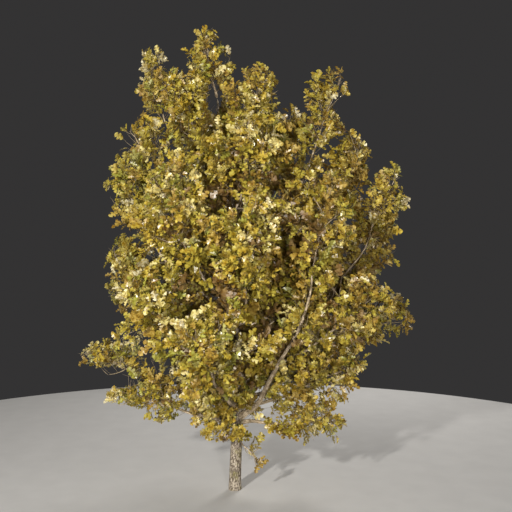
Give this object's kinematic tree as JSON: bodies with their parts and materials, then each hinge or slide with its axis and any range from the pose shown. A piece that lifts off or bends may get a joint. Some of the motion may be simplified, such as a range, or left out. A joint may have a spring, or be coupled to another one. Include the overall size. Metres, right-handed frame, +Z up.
{
  "type": "oak tree",
  "caption": "Young oak tree in yellow autumn leaf: slim leaning trunk cut flat at the ground, steeply climbing boughs and an open crown of leaf masses.",
  "frame": {"origin": "middle of the flat cut under the trunk, at ground level", "axes": "+Z up the tree, +X to the right in the view that the part is drawn from, +Y to its back"},
  "size_m": [3.7778, 3.2611, 5.3944],
  "materials": {
    "bark": "rough grey-brown bark",
    "foliage": "satin yellow autumn leaves"
  },
  "bodies": {
    "root": {"bough_back": "bark", "bough_back_low": "bark", "bough_front": "bark", "bough_front_low": "bark", "bough_left_back": "bark", "bough_left_bottom": "bark", "bough_left_front": "bark", "bough_left_high": "bark", "bough_left_low": "bark", "bough_left_low_back": "bark", "bough_left_low_front": "bark", "bough_left_mid": "bark", "bough_right_back": "bark", "bough_right_bottom": "bark", "bough_right_front": "bark", "bough_right_low": "bark", "bough_right_low_back": "bark", "bough_right_low_front": "bark", "bough_right_mid": "bark", "bough_right_skirt": "bark", "bough_spire_left": "bark", "bough_spire_right": "bark", "bough_spur_right": "bark", "bough_upper_left": "bark", "bough_upper_right": "bark", "mass_back": "foliage", "mass_back_low": "foliage", "mass_crown_tip": "foliage", "mass_front": "foliage", "mass_front_low": "foliage", "mass_inner_right": "foliage", "mass_left_back": "foliage", "mass_left_bottom": "foliage", "mass_left_front": "foliage", "mass_left_high": "foliage", "mass_left_low": "foliage", "mass_left_low_back": "foliage", "mass_left_low_front": "foliage", "mass_left_mid": "foliage", "mass_right_back": "foliage", "mass_right_bottom": "foliage", "mass_right_front": "foliage", "mass_right_low": "foliage", "mass_right_low_back": "foliage", "mass_right_low_front": "foliage", "mass_right_mid": "foliage", "mass_right_skirt": "foliage", "mass_spire_left": "foliage", "mass_spire_right": "foliage", "mass_spur_right": "foliage", "mass_top_right": "foliage", "mass_trunk_shoot": "foliage", "mass_trunk_skirt": "foliage", "mass_upper_back": "foliage", "mass_upper_front": "foliage", "mass_upper_left": "foliage", "mass_upper_left_front": "foliage", "mass_upper_right": "foliage", "mass_upper_right_back": "foliage", "trunk": "bark"}
  },
  "joints": []
}
